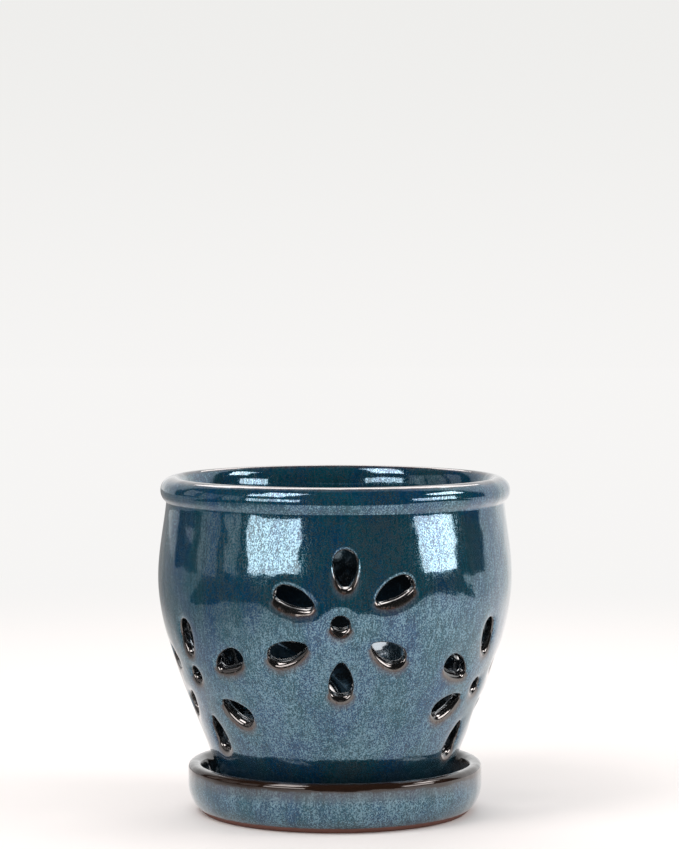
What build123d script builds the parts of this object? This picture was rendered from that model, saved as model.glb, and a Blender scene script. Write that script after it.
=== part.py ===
import os
from math import asin, atan2, cos, degrees, hypot, radians, sin, sqrt

from build123d import *
from build123d.topology import SkipClean

# An orchid pot on its saucer: two glazed pieces, in millimetres, with the middle of the saucer's
# foot at the origin and +Z up. The front of the pot looks along -Y.

# The saucer. Its heights start at the surface that it stands on.
saucer_height = 23.5
saucer_wall = 9.5
saucer_side_height = 14.0
saucer_side_round = 17.5
saucer_rim_width = 5.8
saucer_rim_round_share = 0.45
saucer_floor_height = 7.0
saucer_water_gap = 9.0
saucer_floor_round = 6.0
saucer_foot_width = 9.0
saucer_foot_recess = 1.5
saucer_foot_round = 0.8

# The pot's outside. Its heights start at its own foot.
pot_height = 151.5
rim_radius = 82.5
foot_radius = 51.0
hip_inset = 13.5
hip_height = 47.0
belly_bulge = 1.1
belly_depth = 46.5
lip_overhang = 2.7
lip_roll_radius = 6.5
lip_inside_round = 4.3
crease_round = 0.8
foot_flare = 0.33
neck_lean = 0.10

# The pot's inside and its foot ring.
wall = 6.5
floor_thickness = 6.5
floor_round = 7.0
foot_ring_width = 8.0
foot_ring_recess = 2.5
foot_round = 1.6
drain_radius = 11.0
drain_round = 1.5

# The pot's foot stands flat on the saucer's floor, with nothing between them.
seat_clearance = 0.0

# The slots are six flowers, each of a round eye and six petals with their points to the eye.
petal_length = 18.8
petal_blunt_radius = 5.0
petal_tip_radius = 0.9
petal_side_radius = 17.0
petal_gap = 12.7
eye_radius = 4.4
slot_edge_round = 1.3
flower_crease_clearance = 13.8
flower_floor_clearance = 8.1

# Each flower is cut by hand, so bearings, heights and petals stray a little. Bearings are in
# degrees from the front, towards the right, and turns and swings are in degrees too. The flowers
# stand high and low by turns, and the petals go round clockwise from the top one.
flower_bearings = (1.8, 64.1, 122.0, 182.0, 240.5, 300.3)
flower_height_shares = (1.0, 0.93, 1.01, 1.0, 0.99, 1.03)
petals_in_flower = 6
petal_reach_shares = (
    (0.95, 1.08, 0.99, 1.02, 1.05, 0.88),
    (0.98, 1.00, 1.00, 1.02, 0.80, 0.98),
    (0.96, 1.03, 1.01, 1.00, 0.97, 0.95),
    (0.90, 1.05, 1.03, 1.08, 1.00, 0.97),
    (0.97, 0.98, 1.04, 1.03, 1.00, 1.02),
    (0.72, 1.13, 1.05, 1.13, 0.98, 1.02),
)
petal_length_shares = (
    (1.00, 1.14, 0.98, 1.02, 1.05, 1.14),
    (0.97, 1.00, 1.02, 1.00, 1.00, 0.94),
    (1.02, 1.08, 1.00, 0.98, 1.03, 1.05),
    (0.96, 1.02, 1.00, 1.03, 1.05, 0.98),
    (1.03, 1.10, 0.97, 1.00, 1.02, 1.08),
    (0.96, 0.95, 1.00, 1.00, 1.02, 1.00),
)
petal_swings = (
    (-5, 1, -2, 1, -1, 2),
    (6, -10, -5, -7, -9, 2),
    (3, -2, 1, -2, 3, -1),
    (-2, -6, -4, 3, 2, 8),
    (1, 2, -3, 0, -2, -4),
    (-3, -11, -6, 5, 10, 18),
)
petal_turns = (
    (5, -3, 3, -1, -10, 7),
    (0, 2, -3, 0, 4, 0),
    (-3, -2, 4, 1, -5, 4),
    (2, 3, 5, -2, -3, -1),
    (-2, -4, 2, 0, -6, 5),
    (0, 5, 6, 0, -3, -4),
)

# The seam of the turned wall lies in the widest space between two flowers.
seam_bearing = 34.0

# The saucer's floor leaves a ring of water round the pot's foot.
saucer_floor_radius = foot_radius + saucer_water_gap
saucer_radius = saucer_floor_radius + saucer_wall
saucer_rim_round = saucer_rim_width * saucer_rim_round_share
pot_lift = saucer_floor_height + seat_clearance

hip_radius = rim_radius - hip_inset
belly_radius = rim_radius + belly_bulge
belly_height = pot_height - belly_depth
neck_radius = rim_radius - lip_overhang
rim_centre_radius = rim_radius - lip_roll_radius
rim_centre_height = pot_height - lip_roll_radius
crease_height = rim_centre_height - sqrt(lip_roll_radius**2 - (neck_radius - rim_centre_radius) ** 2)
floor_height = foot_ring_recess + floor_thickness

# The high flowers hang under the crease, and the low ones stand over the rounded edge of the floor.
petal_reach = eye_radius + petal_gap + petal_length / 2
flower_radius = petal_reach + petal_length / 2
high_flower_height = crease_height - flower_crease_clearance - flower_radius
low_flower_height = floor_height + floor_round + flower_floor_clearance + flower_radius


def section_point(radius, height):
    return Vector(radius, 0, height)


def outer_wall():
    """The outside of the wall, from the foot up to the crease under the lip."""
    return Edge.make_spline(
        [
            section_point(foot_radius, 0),
            section_point(hip_radius, hip_height),
            section_point(belly_radius, belly_height),
            section_point(neck_radius, crease_height),
        ],
        tangents=[Vector(foot_flare, 0, 1), Vector(-neck_lean, 0, 1)],
    )


def wall_at(height):
    """Radius of the outside of the wall at a height, and how far the wall leans out, in degrees."""
    curve = outer_wall()
    low = 0.0
    high = 1.0
    while high - low > 1e-6:
        middle = (low + high) / 2
        if curve.position_at(middle).Z < height:
            low = middle
        else:
            high = middle
    slope = curve.tangent_at(low)
    return curve.position_at(low).X, degrees(atan2(slope.X, slope.Z))


def turned(edges, seam):
    """A closed section of edges, turned about the Z axis, with its seam at a bearing."""
    section = Face(Wire(edges))
    return Rotation(0, 0, seam - 90) * revolve(section, Axis.Z)


def pot_blank():
    """The pot before its slots are cut: wall, rolled lip, floor with its drain hole, foot ring."""
    ring_radius = foot_radius - foot_ring_width
    floor_edge = wall_at(floor_height)[0]
    inner_top = section_point(rim_centre_radius - lip_inside_round, pot_height - lip_inside_round)
    inner_foot = section_point(floor_edge - wall, floor_height)
    inner_wall = Edge.make_spline(
        [
            inner_foot,
            section_point(hip_radius - wall, hip_height),
            section_point(belly_radius - wall, belly_height),
            inner_top,
        ],
        tangents=[Vector(foot_flare, 0, 1), Vector(0, 0, 1)],
    )
    crease = section_point(neck_radius, crease_height)
    outermost = section_point(rim_radius, rim_centre_height)
    top = section_point(rim_centre_radius, pot_height)
    roll = Edge.make_three_point_arc(crease, outermost, top)
    half_round = lip_inside_round * sqrt(0.5)
    inside_middle = section_point(
        rim_centre_radius - half_round, pot_height - lip_inside_round + half_round
    )
    inside_roll = Edge.make_three_point_arc(top, inside_middle, inner_top)
    corners = [
        inner_foot,
        section_point(drain_radius, floor_height),
        section_point(drain_radius, foot_ring_recess),
        section_point(ring_radius, foot_ring_recess),
        section_point(ring_radius, 0),
        section_point(foot_radius, 0),
    ]
    base = [Edge.make_line(start, end) for start, end in zip(corners, corners[1:])]
    blank = turned([outer_wall(), roll, inside_roll, inner_wall] + base, seam_bearing)
    blank = fillet(rings(blank, neck_radius, crease_height), crease_round)
    blank = fillet(rings(blank, inner_foot.X, floor_height), floor_round)
    blank = fillet(rings(blank, foot_radius, 0) + rings(blank, ring_radius, 0), foot_round)
    drain_edges = rings(blank, drain_radius, floor_height) + rings(blank, drain_radius, foot_ring_recess)
    return fillet(drain_edges, drain_round)


def rings(solid, radius, height):
    """The circular edges of a turned solid at a radius and a height."""
    near = 1e-3 * radius
    return [
        edge
        for edge in solid.edges().filter_by(GeomType.CIRCLE)
        if abs(edge.radius - radius) < near and abs(edge.arc_center.Z - height) < near
    ]


def petal_outline(length):
    """A petal in its own plane, with its middle at the origin and its point along -X.

    A blunt circle and a small one at the point are joined by two arcs that touch both.
    """
    spread = length - petal_blunt_radius - petal_tip_radius
    blunt = Vector(length / 2 - petal_blunt_radius, 0)
    tip = Vector(blunt.X - spread, 0)
    to_blunt = petal_side_radius - petal_blunt_radius
    to_tip = petal_side_radius - petal_tip_radius
    along = (to_tip**2 - to_blunt**2 - spread**2) / (2 * spread)
    across = sqrt(to_blunt**2 - along**2)
    edges = []
    joints = []
    for side in (1, -1):
        centre = Vector(blunt.X + along, -side * across)
        at_blunt = centre + (blunt - centre).normalized() * petal_side_radius
        at_tip = centre + (tip - centre).normalized() * petal_side_radius
        halfway = ((at_blunt + at_tip) / 2 - centre).normalized() * petal_side_radius + centre
        edges.append(Edge.make_three_point_arc(at_blunt, halfway, at_tip))
        joints.append((at_blunt, at_tip))
    blunt_end = blunt + Vector(petal_blunt_radius, 0)
    tip_end = tip - Vector(petal_tip_radius, 0)
    edges.append(Edge.make_three_point_arc(joints[0][0], blunt_end, joints[1][0]))
    edges.append(Edge.make_three_point_arc(joints[0][1], tip_end, joints[1][1]))
    return Face(Wire(edges))


def eye_outline():
    """The round eye of a flower, as two half circles."""
    upper = Edge.make_circle(eye_radius, start_angle=0, end_angle=180)
    lower = Edge.make_circle(eye_radius, start_angle=180, end_angle=360)
    return Face(Wire([upper, lower]))


def wall_plane(bearing, height, turn):
    """A plane that touches the wall's outside, with X turned from level in the wall's surface."""
    radius, lean = wall_at(height)
    around = Vector(cos(radians(bearing)), sin(radians(bearing)), 0)
    outwards = Vector(sin(radians(bearing)), -cos(radians(bearing)), 0)
    normal = outwards * cos(radians(lean)) - Vector(0, 0, 1) * sin(radians(lean))
    upwards = outwards * sin(radians(lean)) + Vector(0, 0, 1) * cos(radians(lean))
    level = around * cos(radians(turn)) + upwards * sin(radians(turn))
    return Plane(outwards * radius + Vector(0, 0, height), x_dir=level, z_dir=normal)


def flower_slots(index):
    """The places and outlines of one flower's eye and petals: (plane, outline) pairs."""
    standing_high = index % 2 == 0
    eye_height = high_flower_height if standing_high else low_flower_height
    eye_height = eye_height * flower_height_shares[index]
    bearing = flower_bearings[index]
    eye_lean = wall_at(eye_height)[1]
    slots = [(wall_plane(bearing, eye_height, 0), eye_outline())]
    for petal in range(petals_in_flower):
        direction = 90 - petal * 360 / petals_in_flower + petal_swings[index][petal]
        reach = petal_reach * petal_reach_shares[index][petal]
        rise = reach * sin(radians(direction)) * cos(radians(eye_lean))
        petal_radius, petal_lean = wall_at(eye_height + rise)
        swing = degrees(reach * cos(radians(direction)) / petal_radius)
        turn = direction + petal_turns[index][petal]
        length = petal_length * petal_length_shares[index][petal]
        slots.append((wall_plane(bearing + swing, eye_height + rise, turn), petal_outline(length)))
    return slots


def slot_edges(solid, planes):
    """The edges where the slots meet the wall's outside and inside."""
    found = []
    for edge in solid.edges():
        middle = edge @ 0.5
        plane = min(planes, key=lambda candidate: (candidate.origin - middle).length)
        place = plane.to_local_coords(middle)
        start = plane.to_local_coords(edge @ 0)
        end = plane.to_local_coords(edge @ 1)
        beside = hypot(place.X, place.Y) < petal_length * 0.6
        near = abs(place.Z) < 2 * wall
        through = abs(start.Z - end.Z) > wall / 2
        if beside and near and not through:
            found.append(edge)
    return found


def pot():
    """The pot with its slots cut square to the wall and their edges rounded, inside and out."""
    slots = []
    for index in range(len(flower_bearings)):
        slots.extend(flower_slots(index))
    blank = pot_blank()
    # The two halves of an eye stay apart, so that the rounding of its edge is two strips.
    with SkipClean():
        cutters = [plane * extrude(outline, 2 * wall, both=True) for plane, outline in slots]
        body = blank - cutters
        edges = slot_edges(body, [plane for plane, outline in slots])
        body = fillet(edges, slot_edge_round)
    return Location((0, 0, pot_lift)) * body


def saucer():
    """A shallow dish with a thick rounded rim, a rounded side and a foot ring."""
    side_centre = saucer_radius - saucer_side_round
    foot_edge = side_centre + sqrt(saucer_side_round**2 - saucer_side_height**2)
    side_turn = asin(saucer_side_height / saucer_side_round) / 2
    side_middle = section_point(
        side_centre + saucer_side_round * cos(side_turn),
        saucer_side_height - saucer_side_round * sin(side_turn),
    )
    foot_inside = foot_edge - saucer_foot_width
    rim_inside = saucer_radius - saucer_rim_width
    foot = section_point(foot_edge, 0)
    side_top = section_point(saucer_radius, saucer_side_height)
    corners = [
        side_top,
        section_point(saucer_radius, saucer_height),
        section_point(rim_inside, saucer_height),
        section_point(saucer_floor_radius, saucer_floor_height),
        section_point(0, saucer_floor_height),
        section_point(0, saucer_foot_recess),
        section_point(foot_inside, saucer_foot_recess),
        section_point(foot_inside, 0),
        foot,
    ]
    edges = [Edge.make_line(start, end) for start, end in zip(corners, corners[1:])]
    edges.append(Edge.make_three_point_arc(foot, side_middle, side_top))
    dish = turned(edges, seam_bearing)
    top = rings(dish, saucer_radius, saucer_height) + rings(dish, rim_inside, saucer_height)
    dish = fillet(top, saucer_rim_round)
    dish = fillet(rings(dish, saucer_floor_radius, saucer_floor_height), saucer_floor_round)
    return fillet(rings(dish, foot_edge, 0) + rings(dish, foot_inside, 0), saucer_foot_round)


os.makedirs("parts", exist_ok=True)
export_step(saucer(), "parts/saucer.step")
export_step(pot(), "parts/pot.step")
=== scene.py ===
from math import asin, atan2, cos, pi, radians, sin, sqrt, tau

import bmesh
import bpy
import numpy as np
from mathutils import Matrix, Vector
from mathutils.geometry import delaunay_2d_cdt


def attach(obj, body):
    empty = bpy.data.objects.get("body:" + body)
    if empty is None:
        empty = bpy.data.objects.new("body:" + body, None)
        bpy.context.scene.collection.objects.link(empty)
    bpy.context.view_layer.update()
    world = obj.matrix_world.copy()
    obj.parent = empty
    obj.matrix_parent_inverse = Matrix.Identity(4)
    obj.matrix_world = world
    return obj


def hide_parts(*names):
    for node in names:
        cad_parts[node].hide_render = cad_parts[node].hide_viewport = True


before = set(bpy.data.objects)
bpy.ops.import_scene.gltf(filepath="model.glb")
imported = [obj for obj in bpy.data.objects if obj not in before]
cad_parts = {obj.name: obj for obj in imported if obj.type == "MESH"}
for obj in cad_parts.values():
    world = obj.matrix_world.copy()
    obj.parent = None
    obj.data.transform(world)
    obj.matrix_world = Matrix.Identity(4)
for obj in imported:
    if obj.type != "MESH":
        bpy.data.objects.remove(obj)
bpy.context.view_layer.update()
mm = 0.001

# The photograph's view: a long lens at table height, tipped down a little.
photoCamera = {
    "place": (2.1 * mm, -1443.8 * mm, 260.1 * mm),
    "tipDown": 3.07,
    "focalLength": 130.1,
    "sensorHeight": 36.0,
    "nearest": 50 * mm,
}

# The room. Fades are given as where they start and end, and the values there.
studio = {
    "aim": (0.0, 0.0, 90 * mm),
    "skyForSoftLight": 0.55,
    "darkRoom": 0.014,
    "backdropMiddle": 172.0,
    "backdropHalfWidth": 60.0,
    "backdropSoft": (0.03, 0.05),
    "backdropGlow": 0.86,
    "backdropTop": (0.75, 0.95, 1.0, 0.25),
    "backdropDim": (-0.95, -0.10, 0.42, 1.0),
    "tableRadius": 6.0,
    "tableSides": 96,
    "tableSoftEdge": 4 * mm,
    "tableFront": -385 * mm,
    "tableLeft": -515 * mm,
    "tableRight": 740 * mm,
    "tableDim": (-370 * mm, -20 * mm, 0.28, 1.0),
    "sweepStart": 120 * mm,
    "tableColour": (0.92, 0.915, 0.91, 1.0),
    "fadeStart": 0.30,
    "fadeEnd": 1.10,
    "pageRise": (-0.06, 0.09),
    "pageColour": (0.925, 0.915, 0.905, 1.0),
    "pageColourHigh": (0.86, 0.855, 0.84, 1.0),
}
# Bearings are in degrees from the front towards the right, heights in degrees up.
softboxes = (
    {"name": "leftBox", "bearing": -40, "height": 12, "far": 1.2, "size": (0.72, 0.33), "glow": 4.0},
    {"name": "rightBox", "bearing": 69, "height": 12, "far": 1.2, "size": (0.60, 0.33), "glow": 5.6},
    {"name": "highLeftBox", "bearing": -50, "height": 51, "far": 1.4, "size": (0.50, 0.75), "glow": 6.5},
    {"name": "highRightBox", "bearing": 88, "height": 37, "far": 1.4, "size": (0.50, 0.34), "glow": 8.0},
    {"name": "backTop", "bearing": 180, "height": 46, "far": 1.4, "size": (1.20, 0.45), "glow": 3.9},
    {"name": "windowFront", "bearing": -70, "height": 16, "far": 1.6, "size": (0.32, 0.75), "glow": 0.42},
    {"name": "windowMiddle", "bearing": -89, "height": 15, "far": 1.6, "size": (0.50, 0.85), "glow": 0.32},
    {"name": "windowBack", "bearing": -110, "height": 18, "far": 1.6, "size": (0.38, 0.70), "glow": 0.40},
)
lampWarmth = (1.0, 0.91, 0.875)


def deselect():
    if bpy.context.object and bpy.context.object.mode != "OBJECT":
        bpy.ops.object.mode_set(mode="OBJECT")
    bpy.ops.object.select_all(action="DESELECT")


def addNode(tree, kind, inputs=None, **settings):
    made = tree.nodes.new("ShaderNode" + kind)
    for key, value in settings.items():
        setattr(made, key, value)
    for key, value in (inputs or {}).items():
        if isinstance(value, bpy.types.NodeSocket):
            tree.links.new(value, made.inputs[key])
        else:
            made.inputs[key].default_value = value
    return made


def calc(tree, operation, first, second=0.0, third=0.0, clamp=False):
    inputs = {0: first, 1: second}
    if operation == "MULTIPLY_ADD":
        inputs[2] = third
    return addNode(tree, "Math", inputs, operation=operation, use_clamp=clamp).outputs[0]


def mixColours(tree, share, first, second):
    return addNode(tree, "Mix", {0: share, 6: first, 7: second}, data_type="RGBA").outputs[2]


def spread(tree, value, low, high, toLow=0.0, toHigh=1.0, smooth=True):
    inputs = {0: value, 1: low, 2: high, 3: toLow, 4: toHigh}
    kind = "SMOOTHSTEP" if smooth else "LINEAR"
    return addNode(tree, "MapRange", inputs, interpolation_type=kind).outputs[0]


def newMaterial(name):
    material = bpy.data.materials.new(name)
    material.use_nodes = True
    tree = material.node_tree
    tree.nodes.clear()
    return material, tree


def setCamera():
    data = bpy.data.cameras.new("photoCamera")
    data.sensor_fit = "VERTICAL"
    data.sensor_height = photoCamera["sensorHeight"]
    data.lens = photoCamera["focalLength"]
    data.clip_start = photoCamera["nearest"]
    camera = bpy.data.objects.new("photoCamera", data)
    bpy.context.scene.collection.objects.link(camera)
    camera.location = photoCamera["place"]
    camera.rotation_euler = (radians(90 - photoCamera["tipDown"]), 0, 0)
    bpy.context.scene.camera = camera
    bpy.context.scene.view_settings.view_transform = "Standard"


def setLamps():
    aim = Vector(studio["aim"])
    for box in softboxes:
        data = bpy.data.lights.new(box["name"], "AREA")
        data.shape = "RECTANGLE"
        data.size, data.size_y = box["size"]
        data.energy = box["glow"] * pi * data.size * data.size_y  # so glow is how bright its face is
        data.color = lampWarmth
        lamp = bpy.data.objects.new(box["name"], data)
        bpy.context.scene.collection.objects.link(lamp)
        bearing = radians(box["bearing"])
        height = radians(box["height"])
        level = cos(height)
        lamp.location = aim + box["far"] * Vector((level * sin(bearing), -level * cos(bearing), sin(height)))
        lamp.rotation_euler = (aim - lamp.location).to_track_quat("-Z", "Y").to_euler()
        lamp.visible_camera = False


def setWorld():
    world = bpy.data.worlds.new("studio")
    bpy.context.scene.world = world
    world.use_nodes = True
    tree = world.node_tree
    tree.nodes.clear()
    path = addNode(tree, "LightPath")
    way = addNode(tree, "TexCoord").outputs["Generated"]
    middle = radians(studio["backdropMiddle"])
    flat = addNode(tree, "VectorMath", {0: way, 1: (1, 1, 0)}, operation="MULTIPLY").outputs[0]
    level = addNode(tree, "VectorMath", {0: flat}, operation="NORMALIZE").outputs[0]
    towards = (sin(middle), -cos(middle), 0)
    side = addNode(tree, "VectorMath", {0: level, 1: towards}, operation="DOT_PRODUCT").outputs["Value"]
    edge = cos(radians(studio["backdropHalfWidth"]))
    before, beyond = studio["backdropSoft"]
    backdrop = spread(tree, side, edge - before, edge + beyond)
    up = addNode(tree, "SeparateXYZ", {0: way}).outputs[2]
    backdrop = calc(tree, "MULTIPLY", backdrop, spread(tree, up, *studio["backdropTop"]))
    east = addNode(tree, "SeparateXYZ", {0: level}).outputs[0]
    backdrop = calc(tree, "MULTIPLY", backdrop, spread(tree, east, *studio["backdropDim"]))
    mirrored = spread(tree, backdrop, 0, 1, studio["darkRoom"], studio["backdropGlow"], smooth=False)
    rise = spread(tree, up, *studio["pageRise"])
    page = mixColours(tree, rise, studio["pageColour"], studio["pageColourHigh"])
    soft = addNode(tree, "Background", {0: (1, 1, 1, 1), 1: studio["skyForSoftLight"]}).outputs[0]
    shiny = addNode(tree, "Background", {0: (1, 1, 1, 1), 1: mirrored}).outputs[0]
    seen = addNode(tree, "Background", {0: page, 1: 1.0}).outputs[0]
    first = addNode(tree, "MixShader", {0: path.outputs["Is Glossy Ray"], 1: soft, 2: shiny}).outputs[0]
    last = addNode(tree, "MixShader", {0: path.outputs["Is Camera Ray"], 1: first, 2: seen}).outputs[0]
    addNode(tree, "OutputWorld", {0: last})


def layTable():
    deselect()
    sides, radius = studio["tableSides"], studio["tableRadius"]
    bpy.ops.mesh.primitive_circle_add(vertices=sides, radius=radius, fill_type="NGON", location=(0, 0, 0))
    table = bpy.context.object
    table.name = "table"
    material, tree = newMaterial("paleTable")
    path = addNode(tree, "LightPath")
    place = addNode(tree, "TexCoord").outputs["Object"]
    far = addNode(tree, "VectorMath", {0: place}, operation="LENGTH").outputs["Value"]
    apart = addNode(tree, "SeparateXYZ", {0: place})
    cloth = addNode(tree, "BsdfDiffuse", {0: studio["tableColour"]}).outputs[0]
    page = addNode(tree, "Emission", {0: studio["pageColour"], 1: 1.0}).outputs[0]
    fade = spread(tree, far, studio["fadeStart"], studio["fadeEnd"])
    seen = addNode(tree, "MixShader", {0: fade, 1: cloth, 2: page}).outputs[0]
    room = addNode(tree, "Emission", {0: (1, 1, 1, 1), 1: studio["darkRoom"]}).outputs[0]
    east, north = apart.outputs[0], apart.outputs[1]
    soft = studio["tableSoftEdge"]
    front = spread(tree, north, studio["tableFront"] - soft, studio["tableFront"] + soft, 1.0, 0.0)
    left = spread(tree, east, studio["tableLeft"] - soft, studio["tableLeft"] + soft, 1.0, 0.0)
    right = spread(tree, east, studio["tableRight"] - soft, studio["tableRight"] + soft)
    near = spread(tree, north, studio["sweepStart"] - soft, studio["sweepStart"] + soft, 1.0, 0.0)
    beyond = calc(tree, "MAXIMUM", front, calc(tree, "MULTIPLY", calc(tree, "MAXIMUM", left, right), near))
    dim = calc(tree, "SUBTRACT", 1.0, spread(tree, east, *studio["tableDim"]))
    beyond = calc(tree, "MAXIMUM", beyond, dim)
    mirrored = addNode(tree, "MixShader", {0: beyond, 1: seen, 2: room}).outputs[0]
    last = addNode(tree, "MixShader", {0: path.outputs["Is Glossy Ray"], 1: seen, 2: mirrored}).outputs[0]
    addNode(tree, "OutputMaterial", {0: last})
    table.data.materials.append(material)


setCamera()
setLamps()
setWorld()
layTable()
print("stage ready")

# The pot as it was thrown, in millimetres, with heights from its own foot. The sheets are the two
# stretches of wall that hold the slots, each with its low and high edge and its count of rows.
potForm = {
    "lift": 7.0,
    "height": 151.5,
    "rim": 82.5,
    "neck": 79.8,
    "belly": (83.6, 105.0),
    "hip": (69.0, 47.0),
    "foot": 51.0,
    "footFlare": 0.33,
    "neckLean": 0.10,
    "lipRoll": 6.5,
    "lipInside": 4.3,
    "lipInsideDrop": 10.0,
    "creaseRound": 1.3,
    "wall": 6.5,
    "floor": 9.0,
    "floorRound": 7.0,
    "footRing": 8.0,
    "footRecess": 2.5,
    "footRound": 1.6,
    "drain": 11.0,
    "drainRound": 1.5,
    "columns": 270,
    "seam": 34.0,
    "outerSheet": (12.0, 131.0, 68),
    "innerSheet": (18.0, 132.0, 62),
    "sheetRadius": 80.0,
    "sheetSnap": 1e-3,
    "cellSnap": 1e-5,
    "creaseGap": 2.5,
    "wallStep": 1.9,
    "lipParts": 15,
    "lipInsideParts": 12,
    "lipDownPoints": 6,
    "lipStep": 3.0,
    "footStart": 3.0,
    "footPoints": 6,
    "footJoin": 1.2,
    "footStep": 3.2,
    "insideSoftShare": 0.3,
    "weld": 0.03,
    "waveRadius": 30.0,
    "waveStart": 2.0,
    "waveRise": 20.0,
}

# The slots: six rosettes, each of an eye and six petals, cut by hand. Petals go clockwise from the top.
# Rosettes stand high and low by turns, and each petal has its own reach, length, swing and turn.
rosettes = {
    "bearings": (1.8, 64.1, 122.0, 182.0, 240.5, 300.3),
    "high": 90.0,
    "low": 60.0,
    "heightShares": (1.0, 0.93, 1.01, 1.0, 0.99, 1.03),
    "petals": 6,
    "petalLength": 18.8,
    "petalBlunt": 5.35,
    "petalTip": 2.2,
    "petalSide": 17.0,
    "tipShares": (1.55, 1.35, 1.0, 0.9, 1.0, 1.35),
    "petalReach": 26.5,
    "arcPoints": (16, 12, 8),
    "eye": 4.4,
    "eyePoints": 40,
    "edgeRound": 1.3,
    "trims": (0.25, 2.3),
    "trimShare": 0.42,
    "innerShare": 0.35,
    "flare": 0.6,
    "roundRows": 9,
    "throatShares": (0.25, 0.5, 0.75),
    "edgeMark": 1.3,
    "edgeSlump": 0.42,
    "slumpReach": 2.4,
    "ringReach": 2.2,
    "ringRoom": 0.85,
    "wallSteps": 12,
    "near": 22.0,
    "reachShares": (
        (0.96, 1.11, 0.99, 1.02, 1.05, 0.92),
        (0.98, 1.00, 1.00, 1.02, 0.80, 0.98),
        (0.96, 1.03, 1.01, 1.00, 0.97, 0.95),
        (0.90, 1.05, 1.03, 1.08, 1.00, 0.97),
        (0.97, 0.98, 1.04, 1.03, 1.00, 1.02),
        (0.72, 1.13, 1.05, 1.13, 0.98, 1.02),
    ),
    "lengthShares": (
        (1.00, 1.06, 0.98, 1.02, 1.05, 1.04),
        (0.97, 1.00, 1.02, 1.00, 1.00, 0.94),
        (1.02, 1.08, 1.00, 0.98, 1.03, 1.05),
        (0.96, 1.02, 1.00, 1.03, 1.05, 0.98),
        (1.03, 1.10, 0.97, 1.00, 1.02, 1.08),
        (0.96, 0.95, 1.00, 1.00, 1.02, 1.00),
    ),
    "swings": (
        (-5, 1, -2, 1, -1, 2),
        (6, -10, -5, -7, -9, 2),
        (3, -2, 1, -2, 3, -1),
        (-2, -6, -4, 3, 2, 8),
        (1, 2, -3, 0, -2, -4),
        (-3, -11, -6, 5, 10, 18),
    ),
    "turns": (
        (5, -3, 3, -1, -10, 7),
        (0, 2, -3, 0, 4, 0),
        (-3, -2, 4, 1, -5, 4),
        (2, 3, 5, -2, -3, -1),
        (-2, -4, 2, 0, -6, 5),
        (0, 5, 6, 0, -3, -4),
    ),
}
farFromSlots = 30.0  # the mark of what lies out of reach of every slot
tiny = 1e-9


def unit(way):
    way = np.array(way, float)
    return way / np.linalg.norm(way)


def smoothCurve(points, startWay, endWay, samples=240):
    knots = np.array(points, float)
    gaps = np.hypot(*np.diff(knots, axis=0).T)
    system = np.eye(len(knots))
    wanted = np.zeros_like(knots)
    wanted[0], wanted[-1] = unit(startWay), unit(endWay)
    for k in range(1, len(knots) - 1):
        before, after = gaps[k - 1], gaps[k]
        system[k, k - 1 : k + 2] = after, 2 * (before + after), before
        back, ahead = knots[k] - knots[k - 1], knots[k + 1] - knots[k]
        wanted[k] = 3 * (after / before * back + before / after * ahead)
    slopes = np.linalg.solve(system, wanted)
    curve = []
    for k, gap in enumerate(gaps):
        share = np.linspace(0, 1, samples, endpoint=k == len(gaps) - 1)[:, None]
        rest = 1 - share
        ends = knots[k] * rest**2 * (1 + 2 * share) + knots[k + 1] * share**2 * (1 + 2 * rest)
        bows = gap * share * rest * (slopes[k] * rest - slopes[k + 1] * share)
        curve.append(ends + bows)
    return np.vstack(curve)


def wallCurves(form):
    roll = form["rim"] - form["lipRoll"]
    crease = form["height"] - form["lipRoll"] - sqrt(form["lipRoll"] ** 2 - (form["neck"] - roll) ** 2)
    flare = (form["footFlare"], 1)
    points = [(form["foot"], 0), form["hip"], form["belly"], (form["neck"], crease)]
    outer = smoothCurve(points, flare, (-form["neckLean"], 1))
    inward = (form["wall"], 0)
    floorEdge = (np.interp(form["floor"], outer[:, 1], outer[:, 0]), form["floor"])
    points = [tuple(np.subtract(point, inward)) for point in (floorEdge, form["hip"], form["belly"])]
    points.append((roll - form["lipInside"], form["height"] - form["lipInsideDrop"]))
    return outer, smoothCurve(points, flare, (0, 1))


outerWall, innerWall = wallCurves(potForm)


def radiusAt(curve, height):
    return np.interp(height, curve[:, 1], curve[:, 0])


def leanAt(curve, height):
    step = 0.5
    return (radiusAt(curve, height + step) - radiusAt(curve, height - step)) / (2 * step)


def around(radius, bearing, height):
    return np.stack([radius * np.sin(bearing), -radius * np.cos(bearing), height + 0 * bearing], axis=-1)


# A petal's outline: arcs of centre, radius, first and last turn and count of points, as seen face on.
def petalArcs(length, tipShare):
    blunt, tip, side = rosettes["petalBlunt"], rosettes["petalTip"] * tipShare, rosettes["petalSide"]
    span = length - blunt - tip
    bluntX = length / 2 - blunt
    along = ((side - tip) ** 2 - (side - blunt) ** 2 - span**2) / (2 * span)
    across = sqrt((side - blunt) ** 2 - along**2)
    bluntTurn = atan2(across, -along)
    tipTurn = atan2(across, -span - along)
    bluntPoints, sidePoints, tipPoints = rosettes["arcPoints"]
    return (
        (bluntX, 0, blunt, -bluntTurn, bluntTurn, bluntPoints),
        (bluntX + along, -across, side, bluntTurn, tipTurn, sidePoints),
        (bluntX - span, 0, tip, tipTurn, tau - tipTurn, tipPoints),
        (bluntX + along, across, side, tau - tipTurn, tau - bluntTurn, sidePoints),
    )


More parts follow.
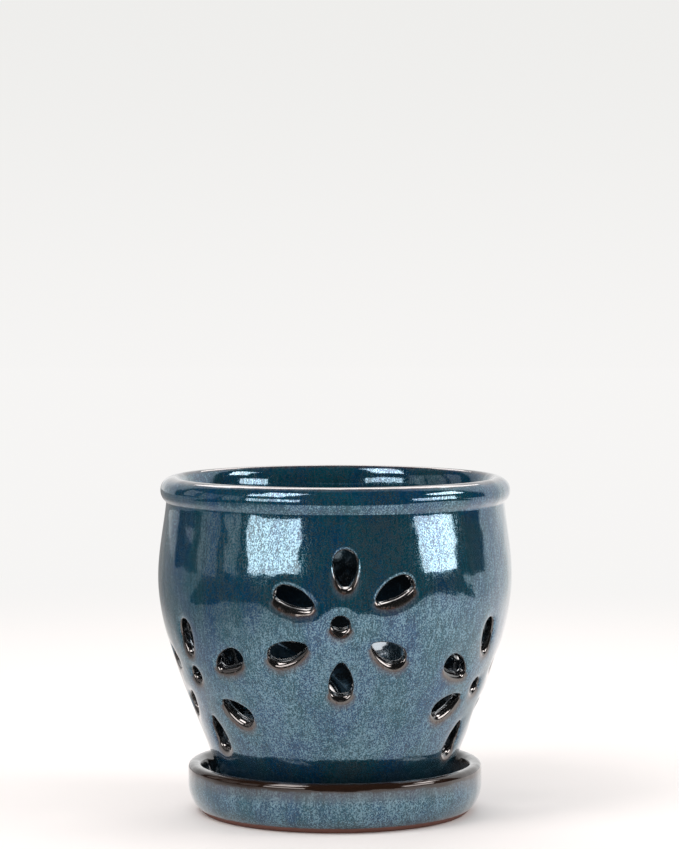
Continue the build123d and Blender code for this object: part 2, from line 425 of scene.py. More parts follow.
def makeSlot(bearing, height, turn, arcs):
    lean = atan2(leanAt(outerWall, height), 1)
    level = np.array([cos(bearing), sin(bearing), 0])
    out = np.array([sin(bearing), -cos(bearing), 0])
    up = np.array([0, 0, 1.0])
    centre = radiusAt(outerWall, height) * out + height * up
    normal = out * cos(lean) - up * sin(lean)
    rise = out * sin(lean) + up * cos(lean)
    along = level * cos(turn) + rise * sin(turn)
    centres, turns, radii, halves = [], [], [], []
    for x, y, radius, start, end, count in arcs:
        for angle in np.linspace(start, end, count, endpoint=False):
            centres.append((x, y))
            radii.append(radius)
            turns.append(angle)
            halves.append(radius if y == 0 else abs(y + radius * sin(angle)))
    ways = np.stack([np.cos(turns), np.sin(turns)], axis=1)
    slot = {"centre": centre, "normal": normal, "along": along, "across": np.cross(normal, along)}
    slot.update(ways=ways, centres=np.array(centres), radii=np.array(radii)[:, None], points=len(turns))
    slot["outline"] = slot["centres"] + slot["radii"] * ways
    slot["halfWidth"] = np.array(halves)
    slot["low"] = np.maximum(0, -(ways @ np.array([slot["along"][2], slot["across"][2]])))
    return slot


def cutRosettes():
    slots = []
    eyeArcs = ((0, 0, rosettes["eye"], 0, tau, rosettes["eyePoints"]),)
    for index, bearing in enumerate(rosettes["bearings"]):
        height = rosettes["high" if index % 2 == 0 else "low"] * rosettes["heightShares"][index]
        lean = atan2(leanAt(outerWall, height), 1)
        slots.append(makeSlot(radians(bearing), height, 0.0, eyeArcs))
        for petal in range(rosettes["petals"]):
            direction = radians(90 - petal * 360 / rosettes["petals"] + rosettes["swings"][index][petal])
            reach = rosettes["petalReach"] * rosettes["reachShares"][index][petal]
            there = height + reach * sin(direction) * cos(lean)
            swing = reach * cos(direction) / radiusAt(outerWall, there)
            turn = direction + radians(rosettes["turns"][index][petal])
            length = rosettes["petalLength"] * rosettes["lengthShares"][index][petal]
            arcs = petalArcs(length, rosettes["tipShares"][petal])
            slots.append(makeSlot(radians(bearing) + swing, there, turn, arcs))
    return slots


slots = cutRosettes()


# Points of a slot's plane, and how far each travels along its normal to meet the wall.
def onWall(slot, flat, curve):
    start = slot["centre"] + flat[:, :1] * slot["along"] + flat[:, 1:] * slot["across"]
    way = slot["normal"]
    travel = np.zeros(len(flat))
    for _ in range(rosettes["wallSteps"]):
        here = start + travel[:, None] * way
        radius = np.hypot(here[:, 0], here[:, 1])
        gap = radius - radiusAt(curve, here[:, 2])
        climb = (here[:, 0] * way[0] + here[:, 1] * way[1]) / radius - leanAt(curve, here[:, 2]) * way[2]
        travel -= gap / climb
    return start, travel


def slumpAt(distance):
    return rosettes["edgeSlump"] * np.exp(-((np.maximum(distance, 0) / rosettes["slumpReach"]) ** 2))


# Rings of places through a slot, from outside to inside: edge, throat, edge. Marks go negative inwards.
def slotRows(slot):
    least, most = rosettes["trims"]
    trim = np.minimum(least + (most - least) * slot["low"], rosettes["trimShare"] * slot["halfWidth"])
    trim = trim[:, None]
    found = []
    for curve, side, share in ((outerWall, 1, 1.0), (innerWall, -1, rosettes["innerShare"])):
        bend = rosettes["edgeRound"] + trim * share
        trim = trim + (side < 0) * rosettes["flare"] * slot["low"][:, None]
        rows = [(rosettes["ringReach"] + 0 * trim, 0 * trim, rosettes["ringReach"] - rosettes["edgeRound"])]
        for turn in np.linspace(0, pi / 2, rosettes["roundRows"]):
            reach, depth = bend * (1 - sin(turn)) - trim, bend * (1 - cos(turn))
            rows.append((reach, depth, -rosettes["edgeMark"] * turn))
        line = []
        for reach, depth, mark in rows:
            start, travel = onWall(slot, slot["centres"] + (slot["radii"] + reach) * slot["ways"], curve)
            sink = (depth + slumpAt(reach))[:, 0] * side
            line.append((start + (travel - sink)[:, None] * slot["normal"], mark))
        found.append(line)
    outer, inner = found
    middle = []
    for share in rosettes["throatShares"]:
        place = outer[-1][0] * (1 - share) + inner[-1][0] * share
        middle.append((place, outer[-1][1] - rosettes["edgeMark"] * 4 * min(share, 1 - share)))
    rows = outer + middle + inner[::-1]
    return np.array([place for place, mark in rows]), np.array([mark for place, mark in rows])


def setPlaces(piece, places):
    piece.data.vertices.foreach_set("co", (np.asarray(places, float) * mm).astype(np.float32).ravel())
    piece.data.update()


def keepValues(piece, name, values):
    layer = piece.data.attributes.get(name) or piece.data.attributes.new(name, "FLOAT", "POINT")
    values = np.broadcast_to(values, len(piece.data.vertices))
    layer.data.foreach_set("value", values.astype(np.float32))


def flatGrid(name, columns, rows):
    deselect()
    bpy.ops.mesh.primitive_grid_add(x_subdivisions=columns, y_subdivisions=rows, size=2, location=(0, 0, 0))
    piece = bpy.context.object
    piece.name = name
    co = np.zeros(3 * len(piece.data.vertices), np.float32)
    piece.data.vertices.foreach_get("co", co)
    co = co.reshape(-1, 3)
    column = np.rint((co[:, 0] + 1) / 2 * columns).astype(int)
    row = np.rint((co[:, 1] + 1) / 2 * rows).astype(int)
    return piece, column, row


def slotTube(index, slot):
    rows, out = slotRows(slot)
    piece, column, row = flatGrid("slotTube%d" % index, slot["points"], len(rows) - 1)
    column = column % slot["points"]
    setPlaces(piece, rows[row, column])
    keepValues(piece, "slotEdge", out[row])
    keepValues(piece, "underSlot", slot["low"][column])
    return piece


# How far places on the wall lie from the nearest slot, how far under it, and that slot's normal.
def nearSlots(places):
    distance = np.full(len(places), farFromSlots)
    under = np.zeros(len(places))
    normal = np.zeros((len(places), 3))
    for slot in slots:
        rel = places - slot["centre"]
        close = np.where((rel**2).sum(axis=1) < rosettes["near"] ** 2)[0]
        if not len(close):
            continue
        flat = np.stack([rel[close] @ slot["along"], rel[close] @ slot["across"]], axis=1)
        start = slot["outline"]
        span = np.roll(start, -1, axis=0) - start
        offset = flat[:, None, :] - start[None]
        share = np.clip((offset * span).sum(axis=2) / (span**2).sum(axis=1), 0, 1)
        gap = offset - share[..., None] * span
        lengths = np.hypot(gap[..., 0], gap[..., 1])
        best = lengths.argmin(axis=1)
        nearest = lengths[np.arange(len(close)), best]
        inside = (span[:, 0] * offset[..., 1] - span[:, 1] * offset[..., 0] > 0).all(axis=1)
        signed = np.where(inside, -nearest, nearest)
        away = gap[np.arange(len(close)), best] / np.maximum(nearest, tiny)[:, None]
        drop = np.maximum(0, -(away @ np.array([slot["along"][2], slot["across"][2]])))
        better = signed < distance[close]
        chosen = close[better]
        distance[chosen] = signed[better]
        under[chosen] = drop[better]
        normal[chosen] = slot["normal"]
    return distance, under, normal


# Fills the strips between the grid that was kept and the slots' rings, measured in cells of the grid.
def joinRings(sheet, flat, loose, kept, limits):
    used, pairs = np.unique(loose, return_inverse=True)
    pairs = pairs.reshape(-1, 2)
    (left, right), (low, high) = limits
    counts = np.subtract(kept.shape, 1)[::-1]
    cells = (flat[:, :2] - (left, low)) / (right - left, high - low) * counts
    points = [Vector(cells[k]) for k in used]
    edges = [tuple(int(k) for k in pair) for pair in pairs]
    found = delaunay_2d_cdt(points, edges, [], 0, potForm["cellSnap"])
    source = [origins[0] for origins in found[3]]
    triangles = np.array([[source[k] for k in face] for face in found[2]])
    middle = cells[used[triangles]].mean(axis=1)
    column = np.clip(middle[:, 0].astype(int), 0, counts[0] - 1)
    row = np.clip(middle[:, 1].astype(int), 0, counts[1] - 1)
    solid = kept[row, column] & kept[row, column + 1] & kept[row + 1, column] & kept[row + 1, column + 1]
    hollow = np.zeros(len(middle), bool)
    first = len(flat) - sum(slot["points"] for slot in slots)
    for slot in slots:
        ring = cells[first : first + slot["points"]]
        first += slot["points"]
        span = np.roll(ring, -1, axis=0) - ring
        offset = middle[:, None, :] - ring[None]
        turn = span[:, 0] * offset[..., 1] - span[:, 1] * offset[..., 0]
        hollow |= (turn > 0).all(axis=1) | (turn < 0).all(axis=1)
    mesh = bmesh.new()
    mesh.from_mesh(sheet.data)
    mesh.verts.ensure_lookup_table()
    for triangle in used[triangles[~solid & ~hollow]]:
        mesh.faces.new([mesh.verts[k] for k in triangle])
    mesh.to_mesh(sheet.data)
    mesh.free()


def flatRings(curve, seam):
    rings = []
    for slot in slots:
        flat = slot["centres"] + (slot["radii"] + rosettes["ringReach"]) * slot["ways"]
        start, travel = onWall(slot, flat, curve)
        place = start + travel[:, None] * slot["normal"]
        turn = np.arctan2(place[:, 0], -place[:, 1])
        turn = np.where(turn > seam, turn - tau, turn)
        rings.append(np.stack([turn * potForm["sheetRadius"], place[:, 2], 0 * turn], axis=1))
    return rings


def looseEdges(sheet, flat, limits):
    bpy.ops.object.mode_set(mode="EDIT")
    bpy.ops.mesh.select_mode(type="EDGE")
    bpy.ops.mesh.select_all(action="DESELECT")
    leftOut = {"use_multi_face": False, "use_non_contiguous": False, "use_verts": False}
    bpy.ops.mesh.select_non_manifold(extend=False, use_wire=True, use_boundary=True, **leftOut)
    bpy.ops.object.mode_set(mode="OBJECT")
    ends = np.zeros(2 * len(sheet.data.edges), int)
    sheet.data.edges.foreach_get("vertices", ends)
    pairs = ends.reshape(-1, 2)
    ends = flat[pairs]
    border = np.zeros(len(ends), bool)
    for axis, values in enumerate(limits):
        for value in values:
            border |= (abs(ends[:, :, axis] - value) < potForm["sheetSnap"]).all(axis=1)
    picked = np.zeros(len(ends), bool)
    sheet.data.edges.foreach_get("select", picked)
    return pairs[picked & ~border]


# One side of the wall, rolled flat: a grid, cleared round the slots, with a ring sewn in for each slot.
def wallSheet(name, curve, zone, side):
    low, high, rowCount = zone
    columns, flatRadius = potForm["columns"], potForm["sheetRadius"]
    sheet, column, row = flatGrid(name, columns, rowCount)
    seam = radians(potForm["seam"])
    bearing = seam - tau + tau * column / columns
    height = low + (high - low) * row / rowCount
    grid = np.stack([bearing * flatRadius, height, 0 * height], axis=1)
    distance = nearSlots(around(radiusAt(curve, height), bearing, height))[0]
    doomed = distance < rosettes["ringReach"] + rosettes["ringRoom"]
    setPlaces(sheet, grid)
    sheet.data.vertices.foreach_set("select", doomed)
    sheet.data.edges.foreach_set("select", np.zeros(len(sheet.data.edges), bool))
    sheet.data.polygons.foreach_set("select", np.zeros(len(sheet.data.polygons), bool))
    bpy.ops.object.mode_set(mode="EDIT")
    bpy.ops.mesh.select_mode(type="VERT")
    bpy.ops.mesh.delete(type="VERT")
    bpy.ops.object.mode_set(mode="OBJECT")  # the rings come after all that is kept
    bpy.ops.object.mode_set(mode="EDIT")
    for slot in slots:
        bpy.ops.mesh.primitive_circle_add(vertices=slot["points"], radius=flatRadius * mm)
    bpy.ops.object.mode_set(mode="OBJECT")
    flat = np.vstack([grid[~doomed]] + flatRings(curve, seam))
    setPlaces(sheet, flat)
    limits = (((seam - tau) * flatRadius, seam * flatRadius), (low, high))
    kept = np.zeros((rowCount + 1, columns + 1), bool)
    kept[row, column] = ~doomed
    joinRings(sheet, flat, looseEdges(sheet, flat, limits), kept, limits)
    bearing = flat[:, 0] / flatRadius
    places = around(radiusAt(curve, flat[:, 1]), bearing, flat[:, 1])
    distance, under, normal = nearSlots(places)
    first = len(flat) - sum(slot["points"] for slot in slots)
    for slot in slots:
        ring = slice(first, first + slot["points"])
        distance[ring] = rosettes["ringReach"]
        under[ring] = slot["low"]
        normal[ring] = slot["normal"]
        first += slot["points"]
    places = places - side * slumpAt(distance)[:, None] * normal
    setPlaces(sheet, places)
    keepValues(sheet, "slotEdge", distance - rosettes["edgeRound"])
    keepValues(sheet, "underSlot", under)
    return sheet


bendPoints = {"least": 3, "perRadian": 4}


# Corners are radius, height and the rounding there.
def rounded(corners):
    path = []
    for k, (radius, height, bend) in enumerate(corners):
        here = np.array([radius, height])
        if not bend:
            path.append(here)
            continue
        back = unit(np.subtract(corners[k - 1][:2], here))
        ahead = unit(np.subtract(corners[k + 1][:2], here))
        half = np.arccos(np.clip(back @ ahead, -1, 1)) / 2
        centre = here + unit(back + ahead) * bend / sin(half)
        start = here + back * bend / np.tan(half) - centre
        end = here + ahead * bend / np.tan(half) - centre
        turn = pi - 2 * half
        count = max(bendPoints["least"], int(turn * bendPoints["perRadian"]) + 1)
        for share in np.linspace(0, 1, count):
            mix = (start * sin((1 - share) * turn) + end * sin(share * turn)) / sin(turn)
            path.append(centre + mix)
    return path


def divided(path, step):
    fine = [path[0]]
    for start, end in zip(path, path[1:]):
        parts = max(1, int(np.ceil(np.hypot(*(end - start)) / step)))
        fine += [start + (end - start) * k / parts for k in range(1, parts + 1)]
    return fine


def arc(centre, radius, start, end, parts):
    turns = np.radians(np.linspace(start, end, parts + 1))
    return [(centre[0] + radius * cos(turn), centre[1] + radius * sin(turn), 0) for turn in turns]


def turnOnWheel(name, path, columns, seam):
    deselect()
    out = Vector((sin(radians(seam)), -cos(radians(seam)), 0))
    places = [(out * float(radius) + Vector((0, 0, float(height)))) * mm for radius, height in path]
    bpy.ops.mesh.primitive_plane_add(size=mm, location=(0, 0, 0))
    piece = bpy.context.object
    piece.name = name
    bpy.ops.object.mode_set(mode="EDIT")
    bpy.ops.mesh.select_mode(type="VERT")
    bpy.ops.mesh.select_all(action="SELECT")
    bpy.ops.mesh.merge(type="CENTER")
    bpy.ops.transform.translate(value=places[0])
    for start, end in zip(places, places[1:]):
        bpy.ops.mesh.extrude_region_move(TRANSFORM_OT_translate={"value": end - start})
    bpy.ops.mesh.select_all(action="SELECT")
    bpy.ops.mesh.spin(steps=columns, angle=tau, center=(0, 0, 0), axis=(0, 0, 1))
    bpy.ops.object.mode_set(mode="OBJECT")
    return piece


def lipPath(form):
    roll = form["rim"] - form["lipRoll"]
    crease = outerWall[-1]
    top = form["height"]
    heights = np.arange(form["outerSheet"][1], crease[1] - form["creaseGap"], form["wallStep"])
    wall = [(radiusAt(outerWall, z), z, 0) for z in heights]
    start = np.degrees(atan2(crease[1] - (top - form["lipRoll"]), crease[0] - roll))
    outside = arc((roll, top - form["lipRoll"]), form["lipRoll"], start, 90, form["lipParts"])
    bend = [(outside[0][0], outside[0][1], form["creaseRound"])]
    quarter = arc((0, 0), 1.0, 90, 180, form["lipInsideParts"])[1:]
    drop = form["lipInsideDrop"]
    inside = [(roll + x * form["lipInside"], top - drop + z * drop, 0) for x, z, bend in quarter]
    heights = np.linspace(top - drop, form["innerSheet"][1], form["lipDownPoints"])[1:]
    down = [(radiusAt(innerWall, z), z, 0) for z in heights]
    corners = wall + bend + outside[2:] + inside + down  # the crease's rounding takes up the second point
    return divided(rounded(corners), form["lipStep"])


def footPath(form):
    low, lowInside = form["outerSheet"][0], form["innerSheet"][0]
    ring = form["foot"] - form["footRing"]
    heights = np.linspace(low, form["footStart"], form["footPoints"])
    wall = [(radiusAt(outerWall, z), z, 0) for z in heights]
    base = [
        (form["foot"], 0, form["footRound"]),
        (ring, 0, form["footRound"]),
        (ring, form["footRecess"], 0),
        (form["drain"], form["footRecess"], form["drainRound"]),
        (form["drain"], form["floor"], form["drainRound"]),
        (innerWall[0][0], form["floor"], form["floorRound"]),
    ]
    up = [(radiusAt(innerWall, z), z, 0) for z in (lowInside - form["footJoin"], lowInside)]
    return divided(rounded(wall + base + up), form["footStep"])


# What the thrower's hands left: a slightly oval wall, and waves that climb round it.
handOval = {"size": 0.16, "turns": 2, "start": 0.7, "pitch": 61, "rise": 0.4}
handWaves = (
    {"size": 0.10, "turns": 5, "start": 1.9, "pitch": 27},
    {"size": 0.07, "turns": 3, "start": 0.0, "pitch": -15},
    {"size": 0.045, "turns": 11, "start": 0.8, "pitch": 9.5},
    {"size": 0.035, "turns": 8, "start": 2.6, "pitch": -6.1},
)


def handWave(places):
    bearing = np.arctan2(places[:, 0], -places[:, 1])
    height = places[:, 2]
    oval = handOval["size"] * np.sin(handOval["turns"] * bearing + handOval["start"])
    moved = oval * np.sin(height / handOval["pitch"] + handOval["rise"])
    for wave in handWaves:
        moved += wave["size"] * np.sin(wave["turns"] * bearing + height / wave["pitch"] + wave["start"])
    return moved


def insideAt(places, form):
    radius = np.hypot(places[:, 0], places[:, 1])
    height = places[:, 2]
    middle = (radiusAt(outerWall, height) + radiusAt(innerWall, height)) / 2
    lip = height > outerWall[-1, 1]
    middle = np.where(lip, form["rim"] - form["lipRoll"], middle)
    inner = np.clip((middle - radius) / (form["wall"] * form["insideSoftShare"]) + 0.5, 0, 1)
    return inner * (height > form["floor"] - form["drainRound"])


def sewPot():
    form = potForm
    parts = [wallSheet("outerSheet", outerWall, form["outerSheet"], 1)]
    parts.append(wallSheet("innerSheet", innerWall, form["innerSheet"], -1))
    for name, path in (("lip", lipPath(form)), ("foot", footPath(form))):
        turned = turnOnWheel(name, path, form["columns"], form["seam"])
        keepValues(turned, "slotEdge", farFromSlots)
        keepValues(turned, "underSlot", 0)
        parts.append(turned)
    parts += [slotTube(index, slot) for index, slot in enumerate(slots)]
    deselect()
    for part in parts:
        part.select_set(True)
    pot = parts[0]
    bpy.context.view_layer.objects.active = pot
    bpy.ops.object.join()
    pot.name = "glazedPot"
    bpy.ops.object.mode_set(mode="EDIT")
    bpy.ops.mesh.select_all(action="SELECT")
    bpy.ops.mesh.remove_doubles(threshold=form["weld"] * mm)
    bpy.ops.mesh.normals_make_consistent(inside=False)
    bpy.ops.object.mode_set(mode="OBJECT")
    co = np.zeros(3 * len(pot.data.vertices), np.float32)
    pot.data.vertices.foreach_get("co", co)
    places = co.reshape(-1, 3) / mm
    radius = np.hypot(places[:, 0], places[:, 1])
    grown = np.clip((places[:, 2] - form["waveStart"]) / form["waveRise"], 0, 1)
    share = 1 + handWave(places) * grown / np.maximum(radius, 1) * (radius > form["waveRadius"])
    places = places * np.stack([share, share, np.ones_like(share)], axis=1)
    keepValues(pot, "inside", insideAt(places, form))
    places[:, 2] += form["lift"]
    setPlaces(pot, places)
    bpy.ops.object.shade_smooth()
    return pot


# The saucer, in millimetres, with heights from the table that it stands on.
saucerForm = {
    "radius": 69.5,
    "height": 23.5,
    "sideHeight": 14.0,
    "sideRound": 17.5,
    "rimWidth": 5.8,
    "rimRound": 2.6,
    "floorRadius": 60.0,
    "floor": 7.0,
    "floorRound": 6.0,
    "footWidth": 9.0,
    "footRecess": 1.5,
    "footRound": 0.8,
    "columns": 192,
    "clayStrip": 2.6,
    "glazeThickness": 0.3,
    "sideParts": 22,
    "step": 2.6,
    "weld": 0.01,
}


def saucerPath(form):
    middle = form["radius"] - form["sideRound"]
    footEdge = middle + sqrt(form["sideRound"] ** 2 - form["sideHeight"] ** 2)
    footInside = footEdge - form["footWidth"]
    rimInside = form["radius"] - form["rimWidth"]
    start = -np.degrees(asin(form["sideHeight"] / form["sideRound"]))
    side = arc((middle, form["sideHeight"]), form["sideRound"], start, 0, form["sideParts"])
    bare = form["glazeThickness"]
    clay = [(r - bare, z, form["footRound"] * (z == 0)) for r, z, bend in side if z < form["clayStrip"]]
    glazed = [point for point in side if point[1] > form["clayStrip"] + 2 * bare]
    corners = [
        (0, form["footRecess"], 0),
        (footInside, form["footRecess"], 0),
        (footInside, 0, form["footRound"]),
        *clay,
        *glazed,
        (form["radius"], form["height"], form["rimRound"]),
        (rimInside, form["height"], form["rimRound"]),
        (form["floorRadius"], form["floor"], form["floorRound"]),
        (0, form["floor"], 0),
    ]
    return divided(rounded(corners), form["step"])


def throwSaucer():
    form = saucerForm
    saucer = turnOnWheel("glazedSaucer", saucerPath(form), form["columns"], potForm["seam"])
    bpy.ops.object.mode_set(mode="EDIT")
    bpy.ops.mesh.select_all(action="SELECT")
    bpy.ops.mesh.remove_doubles(threshold=form["weld"] * mm)
    bpy.ops.mesh.normals_make_consistent(inside=False)
    bpy.ops.object.mode_set(mode="OBJECT")
    bpy.ops.object.shade_smooth()
    return saucer


# Patterns in the glaze. A squeeze under 1 draws a pattern out downwards, the way that glaze runs.
flecks = {
    "grain": {"squeeze": 0.72, "scale": 1800, "detail": 2.0, "rough": 0.65},
    "streak": {"squeeze": 0.13, "scale": 900, "detail": 2.0, "rough": 0.5},
    "cloud": {"squeeze": 0.55, "scale": 42, "detail": 3.0, "rough": 0.55},
    "runs": {"squeeze": 0.12, "scale": 130, "detail": 2.0, "rough": 0.5},
    "green": {"squeeze": 0.5, "scale": 60, "detail": 4.0, "rough": 0.62},
    "peel": {"squeeze": 1.0, "scale": 210, "detail": 2.0, "rough": 0.5},
    "swell": {"squeeze": 0.7, "scale": 75, "detail": 1.0, "rough": 0.5},
    "slotLine": {"squeeze": 0.45, "scale": 420, "detail": 3.0, "rough": 0.6},
    "footLine": {"squeeze": 1.0, "scale": 300, "detail": 3.0, "rough": 0.5},
    "rimLine": {"squeeze": 0.6, "scale": 90, "detail": 4.0, "rough": 0.6},
}
fleckMiddle = 0.5

# What both glazes share. Thickness is per streak, per grain and at least.
glazeFinish = {
    "grainShare": 0.80,
    "streakShare": 0.20,
    "crystalEdge": (0.475, 0.595),
    "thickness": (1.1, 0.7, 0.10),
    "greenEdge": (0.36, 0.62),
    "swellDepth": 12.0,
    "bumpStrength": 0.10,
    "bumpDepth": 0.4 * mm,
    "glassRough": 0.07,
    "crystalRough": 0.14,
    "clayRough": 0.85,
    "glassBend": 1.35,
    "coatBend": 1.5,
    "coatRough": 0.03,
    "footRagged": 0.6 * mm,
}

# The glazes. Depth is the colour of the glassy ground, and sheen the share of a colour that is mirrored.
# Halo is the brown below a slot, break the thin glaze on its edge, throat its near-black inside: dark break
# and painted shade.
# The halo's reach, in millimetres, is per raggedness, per lowness on the slot's edge, and at least.
potGlaze = {
    "depth": (0.002, 0.052, 0.130),
    "depthGreen": (0.003, 0.068, 0.104),
    "depthSheen": 0.38,
    "crystal": (0.170, 0.305, 0.385),
    "crystalSheen": 0.90,
    "breakDark": (0.120, 0.110, 0.102, 1.0),
    "breakSheen": 0.93,
    "breakRust": (0.045, 0.018, 0.011, 1.0),
    "rustEdge": (0.50, 0.64),
    "breakReach": (0, 0.6, -0.75, 0.30),
    "breakRagged": 0.3,
    "breakSharp": 1.8,
    "slotRagged": (0.3, 0.7, -0.5, 0.5),
    "halo": (0.062, 0.042, 0.038, 1.0),
    "haloReach": (2.4, 4.2, 0.15),
    "haloFade": 1.3,
    "haloStrength": (0, 0.5, 0, 0.8),
    "throatEdge": (0.5, 1.2),
    # partly the glaze's dark break, partly painted shade: near black inside the slot, with a grey mirrored
    # share
    "throatBreakAndShade": (0.160, 0.160, 0.160, 1.0),
    "throatSheen": 0.975,
    # painted shade: the inside wall below the top band turns near black, keeping a mirrored sheen
    "inner": (0.055, 0.075, 0.090, 1.0),
    "innerShadeSheen": 0.955,
    "lipCrystals": (142 * mm, 147 * mm, 0.0, 0.030),
    "lipCrest": (156.6 * mm, 158.2 * mm, 0.0, 0.75),
    "crestRagged": 0.8 * mm,
    "innerShadeTop": (104 * mm, 128 * mm),
    # painted shade: the ground darkens low down, where the pot stands in the saucer
    "lowDarkening": (14 * mm, 34 * mm, 0.45, 1.0),
    "bareFoot": (8.0 * mm, 8.6 * mm),
    "clay": (0.160, 0.072, 0.056, 1.0),
    "crystalCloud": 0.15,
    "crystalRuns": 0.16,
}
saucerGlaze = {
    "depth": (0.002, 0.052, 0.122),
    "depthGreen": (0.003, 0.066, 0.100),
    "depthSheen": 0.38,
    "crystal": (0.172, 0.305, 0.380),
    "crystalSheen": 0.90,
    "rimBrown": (0.016, 0.008, 0.005, 1.0),
    "rimEdge": (18.8 * mm, 20.4 * mm),
    "rimRagged": 3.6 * mm,
    "thinGlaze": (0.070, 0.050, 0.044, 1.0),
    "thinEdge": (12.5 * mm, 19.5 * mm, 0, 0.55),
    "clay": (0.160, 0.072, 0.056, 1.0),
    # the ground darkens towards the bottom of the saucer's side
    "lowDarkening": (2.0 * mm, 8.5 * mm, 0.55, 1.0),
    "bareFoot": (2.2 * mm, 2.9 * mm),
    "crystalCloud": 0.10,
    "crystalRuns": 0.20,
}


def fleck(tree, place, name):
    look = flecks[name]
    inputs = {"Scale": look["scale"], "Detail": look["detail"], "Roughness": look["rough"]}
    inputs["Vector"] = addNode(tree, "Mapping", {0: place, 3: (1, 1, look["squeeze"])}).outputs[0]
    return addNode(tree, "TexNoise", inputs).outputs[0]


def scaled(tree, colour, share):
    return addNode(tree, "VectorMath", {0: colour, 3: share}, operation="SCALE").outputs[0]


def dimmed(colour, share):
    return (*(channel * share for channel in colour), 1.0)


# Pale crystals in a deep ground. Metal is worked out so that what isn't mirrored keeps its colour.
def crystalGlaze(tree, colours):
    place = addNode(tree, "TexCoord").outputs["Object"]
    height = addNode(tree, "SeparateXYZ", {0: place}).outputs[2]
    grain = fleck(tree, place, "grain")
    streak = fleck(tree, place, "streak")
    cloud = calc(tree, "SUBTRACT", fleck(tree, place, "cloud"), fleckMiddle)
    runs = calc(tree, "SUBTRACT", fleck(tree, place, "runs"), fleckMiddle)
    slow = calc(tree, "MULTIPLY", cloud, colours["crystalCloud"])
    slow = calc(tree, "MULTIPLY_ADD", runs, colours["crystalRuns"], slow)
    mixed = calc(tree, "MULTIPLY_ADD", streak, glazeFinish["streakShare"], slow)
    mixed = calc(tree, "MULTIPLY_ADD", grain, glazeFinish["grainShare"], mixed)
    if "lipCrystals" in colours:
        mixed = calc(tree, "SUBTRACT", mixed, spread(tree, height, *colours["lipCrystals"]))
    crystals = spread(tree, mixed, *glazeFinish["crystalEdge"], smooth=False)
    perStreak, perGrain, least = glazeFinish["thickness"]
    groundStrength = calc(tree, "MULTIPLY_ADD", streak, perStreak, calc(tree, "MULTIPLY_ADD", grain, perGrain, least))
    # the ground darkens towards the bottom; on the pot this is painted shade where it stands in the saucer
    groundStrength = calc(tree, "MULTIPLY", groundStrength, spread(tree, height, *colours["lowDarkening"]))
    green = spread(tree, fleck(tree, place, "green"), *glazeFinish["greenEdge"])
    depth = mixColours(tree, green, (*colours["depth"], 1), (*colours["depthGreen"], 1))
    ground = scaled(tree, depth, groundStrength)
    colour = mixColours(tree, crystals, ground, (*colours["crystal"], 1))
    dull = scaled(tree, ground, 1 - colours["depthSheen"])
    dull = mixColours(tree, crystals, dull, dimmed(colours["crystal"], 1 - colours["crystalSheen"]))
    whole = addNode(tree, "SeparateXYZ", {0: colour}).outputs[1]
    dull = addNode(tree, "SeparateXYZ", {0: dull}).outputs[1]
    metal = calc(tree, "SUBTRACT", 1.0, calc(tree, "DIVIDE", dull, whole))
    return place, height, colour, metal, crystals


# Lays another colour, with its own sheen, over the glaze so far.
def cover(tree, mask, colour, metal, finish, sheen=0.0):
    return mixColours(tree, mask, colour, finish), spread(tree, mask, 0, 1, metal, sheen, smooth=False)


def finishGlaze(tree, colour, metal, crystals, bare, place):
    look = glazeFinish
    swell, peel = fleck(tree, place, "swell"), fleck(tree, place, "peel")
    surface = calc(tree, "MULTIPLY_ADD", swell, look["swellDepth"], peel)
    inputs = {"Strength": look["bumpStrength"], "Distance": look["bumpDepth"], "Height": surface}
    bump = addNode(tree, "Bump", inputs).outputs[0]
    glassy = spread(tree, crystals, 0, 1, look["glassRough"], look["crystalRough"])
    inputs = {
        "Base Color": colour,
        "Metallic": metal,
        "Roughness": spread(tree, bare, 0, 1, glassy, look["clayRough"], smooth=False),
        "IOR": look["glassBend"],
        "Normal": bump,
        "Coat Weight": calc(tree, "SUBTRACT", 1.0, bare),
        "Coat Roughness": look["coatRough"],
        "Coat IOR": look["coatBend"],
        "Coat Normal": bump,
    }
    shader = addNode(tree, "BsdfPrincipled", inputs).outputs[0]
    addNode(tree, "OutputMaterial", {0: shader})


def bareClay(tree, place, height, colours):
    ragged = glazeFinish["footRagged"]
    level = calc(tree, "ADD", height, ragged / 2)
    level = calc(tree, "MULTIPLY_ADD", fleck(tree, place, "footLine"), -ragged, level)
    return spread(tree, level, *colours["bareFoot"], 1.0, 0.0)


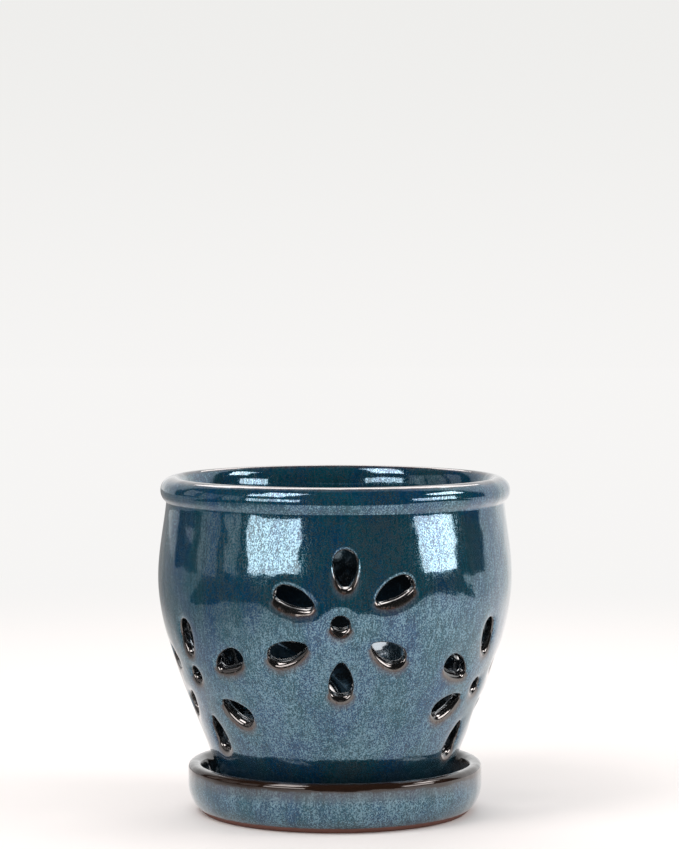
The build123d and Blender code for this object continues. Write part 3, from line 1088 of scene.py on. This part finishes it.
def glazePot(colours):
    material, tree = newMaterial("potGlaze")
    place, height, colour, metal, crystals = crystalGlaze(tree, colours)
    edge = addNode(tree, "Attribute", attribute_name="slotEdge").outputs["Fac"]
    under = addNode(tree, "Attribute", attribute_name="underSlot").outputs["Fac"]
    inside = addNode(tree, "Attribute", attribute_name="inside").outputs["Fac"]
    ragged = fleck(tree, place, "slotLine")
    uneven = spread(tree, ragged, *colours["slotRagged"], smooth=False)
    perRagged, perUnder, least = colours["haloReach"]
    faded = calc(tree, "MULTIPLY_ADD", uneven, perRagged, perUnder)
    faded = calc(tree, "MULTIPLY_ADD", under, faded, least)
    halo = calc(tree, "SUBTRACT", 1.0, calc(tree, "DIVIDE", edge, faded), clamp=True)
    halo = calc(tree, "POWER", halo, colours["haloFade"])
    halo = calc(tree, "MULTIPLY", halo, spread(tree, under, *colours["haloStrength"]))
    colour, metal = cover(tree, halo, colour, metal, colours["halo"])
    reach = spread(tree, under, *colours["breakReach"])
    reach = calc(tree, "MULTIPLY_ADD", uneven, colours["breakRagged"], reach)
    level = calc(tree, "SUBTRACT", reach, edge)
    broken = calc(tree, "MULTIPLY", level, colours["breakSharp"], clamp=True)
    rust = spread(tree, ragged, *colours["rustEdge"])
    dark = mixColours(tree, rust, colours["breakDark"], colours["breakRust"])
    sheen = spread(tree, rust, 0, 1, colours["breakSheen"], 0)
    colour, metal = cover(tree, broken, colour, metal, dark, sheen)
    # Inside the slot the glaze turns near black: partly its own dark break, partly painted shade in the
    # hole.
    throatBreakAndShade = spread(tree, level, *colours["throatEdge"])
    colour, metal = cover(tree, throatBreakAndShade, colour, metal, colours["throatBreakAndShade"], colours["throatSheen"])
    crest = calc(tree, "MULTIPLY_ADD", uneven, colours["crestRagged"], height)
    crest = spread(tree, crest, *colours["lipCrest"])
    colour, metal = cover(tree, crest, colour, metal, colours["breakRust"])
    # Painted shade inside the pot: below the top band the inside wall turns a near-black glaze.
    top = spread(tree, height, *colours["innerShadeTop"], 1.0, 0.0)
    dark = calc(tree, "MULTIPLY", inside, top)
    colour, metal = cover(tree, dark, colour, metal, colours["inner"], colours["innerShadeSheen"])
    bare = bareClay(tree, place, height, colours)
    colour, metal = cover(tree, bare, colour, metal, colours["clay"])
    finishGlaze(tree, colour, metal, crystals, bare, place)
    return material


def glazeSaucer(colours):
    material, tree = newMaterial("saucerGlaze")
    place, height, colour, metal, crystals = crystalGlaze(tree, colours)
    ragged = colours["rimRagged"]
    wave = calc(tree, "ADD", height, -ragged / 2)
    wave = calc(tree, "MULTIPLY_ADD", fleck(tree, place, "rimLine"), ragged, wave)
    thin = spread(tree, wave, *colours["thinEdge"])
    colour, metal = cover(tree, thin, colour, metal, colours["thinGlaze"])
    rim = spread(tree, wave, *colours["rimEdge"])
    colour, metal = cover(tree, rim, colour, metal, colours["rimBrown"])
    bare = bareClay(tree, place, height, colours)
    colour, metal = cover(tree, bare, colour, metal, colours["clay"])
    finishGlaze(tree, colour, metal, crystals, bare, place)
    return material


pot = sewPot()
pot.data.materials.append(glazePot(potGlaze))
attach(pot, "pot")
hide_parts("pot")
print("pot sewn from its wall, lip, foot and slots")

saucer = throwSaucer()
saucer.data.materials.append(glazeSaucer(saucerGlaze))
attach(saucer, "saucer")
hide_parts("saucer")
print("saucer thrown")
